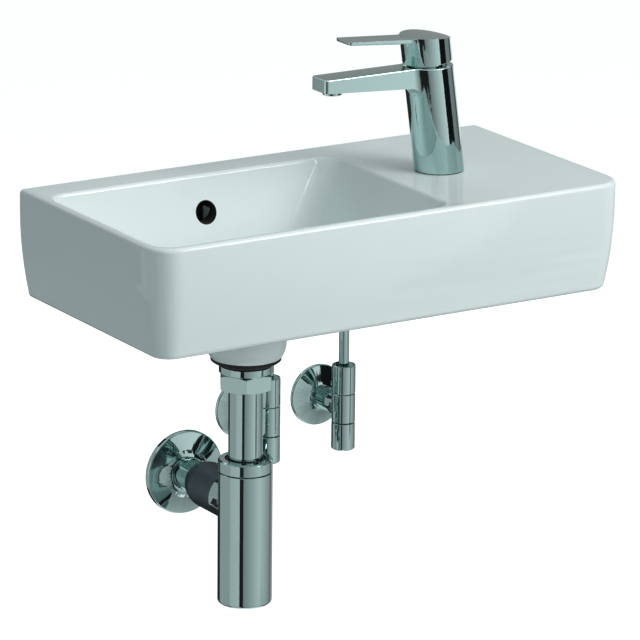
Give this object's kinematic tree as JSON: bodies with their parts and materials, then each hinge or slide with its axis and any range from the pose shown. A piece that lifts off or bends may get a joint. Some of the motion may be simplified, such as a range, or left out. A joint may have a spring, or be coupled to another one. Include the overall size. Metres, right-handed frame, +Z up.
{
  "type": "wall hung basin",
  "caption": "Small wall hung ceramic hand basin with a lever mixer tap on its side deck, push plug waste, bottle trap and angle valves.",
  "frame": {"origin": "midpoint of the two wall fixings, on the wall's face, 65 mm below the rim's top", "axes": "+X to the right seen from the front, +Y into the wall, +Z up"},
  "size_m": [0.5, 0.31, 0.5268],
  "materials": {
    "white_ceramic": "gloss",
    "chrome_tap": "polished",
    "chrome_waste": "polished",
    "chrome_trap": "polished",
    "chrome_valve": "polished",
    "chrome_tube": "polished",
    "black_rubber": "satin",
    "white_plastic": "matte",
    "cartridge_plastic": "matte",
    "bare_brass": "machined",
    "bolt_steel": "zinc plated",
    "plug_grey": "glossy"
  },
  "bodies": {
    "basin_set": {"basin": "white_ceramic", "wall_bolts": "bolt_steel", "bolt_bushes": "white_plastic", "bolt_washers": "bolt_steel", "bolt_nuts": "bolt_steel", "waste_body": "chrome_waste", "waste_upper_seal": "black_rubber", "waste_lower_seal": "black_rubber", "waste_back_nut": "chrome_waste", "plug_guide": "white_plastic", "trap_union_nut": "chrome_trap", "trap_union_washer": "black_rubber", "trap_tailpipe": "chrome_trap", "trap_cap_seal": "black_rubber", "trap_cap": "chrome_trap", "trap_groove_seal": "black_rubber", "trap_dip_tube": "white_plastic", "trap_cup": "chrome_trap", "outlet_nut": "chrome_trap", "outlet_seal": "black_rubber", "waste_wall_pipe": "chrome_trap", "waste_rosette": "chrome_trap", "left_supply_tube": "chrome_tube", "right_supply_tube": "chrome_tube", "tap_body": "chrome_tap", "aerator_ring": "chrome_tap", "aerator_insert": "white_plastic", "tap_seal": "black_rubber", "tap_stud": "bolt_steel", "clamp_gasket": "black_rubber", "clamp_plate": "bolt_steel", "stud_nut": "bolt_steel", "cartridge": "cartridge_plastic", "cartridge_nut": "chrome_tap", "left_valve_body": "chrome_valve", "left_valve_nut": "chrome_valve", "left_valve_gasket": "black_rubber", "left_valve_ferrule": "bare_brass", "left_valve_rosette": "chrome_valve", "right_valve_body": "chrome_valve", "right_valve_nut": "chrome_valve", "right_valve_gasket": "black_rubber", "right_valve_ferrule": "bare_brass", "right_valve_rosette": "chrome_valve"},
    "lever": {"tap_lever": "chrome_tap", "cartridge_stem": "bolt_steel", "lever_screw": "bolt_steel", "lever_plug": "plug_grey"},
    "turner": {"cartridge_turner": "cartridge_plastic", "stem_pin": "bolt_steel"},
    "plug": {"waste_plug": "chrome_waste", "plug_seal": "black_rubber"},
    "left_knob": {"left_valve_knob": "chrome_valve", "left_valve_spindle": "bare_brass"},
    "right_knob": {"right_valve_knob": "chrome_valve", "right_valve_spindle": "bare_brass"}
  },
  "joints": [
    {"name": "lever_swivel", "type": "hinge", "parent": "basin_set", "child": "turner", "pos_m": [0.10746, -0.1276, 0.17067], "axis": [-0.1409, 0, 0.99], "range_deg": [-45, 45]},
    {"name": "lever_lift", "type": "hinge", "parent": "turner", "child": "lever", "pos_m": [0.10746, -0.1276, 0.17067], "axis": [0, 1, 0], "range_deg": [0, 9]},
    {"name": "left_knob_turn", "type": "hinge", "parent": "basin_set", "child": "left_knob", "pos_m": [-0.0125, -0.0477, -0.1787], "axis": [0, 0, 1], "range_deg": [0, 1080]},
    {"name": "right_knob_turn", "type": "hinge", "parent": "basin_set", "child": "right_knob", "pos_m": [0.0708, -0.0477, -0.1787], "axis": [0, 0, 1], "range_deg": [0, 1080]},
    {"name": "plug_slide", "type": "slide", "parent": "basin_set", "child": "plug", "axis": [0, 0, 1], "range_m": [0, 0.008]}
  ]
}
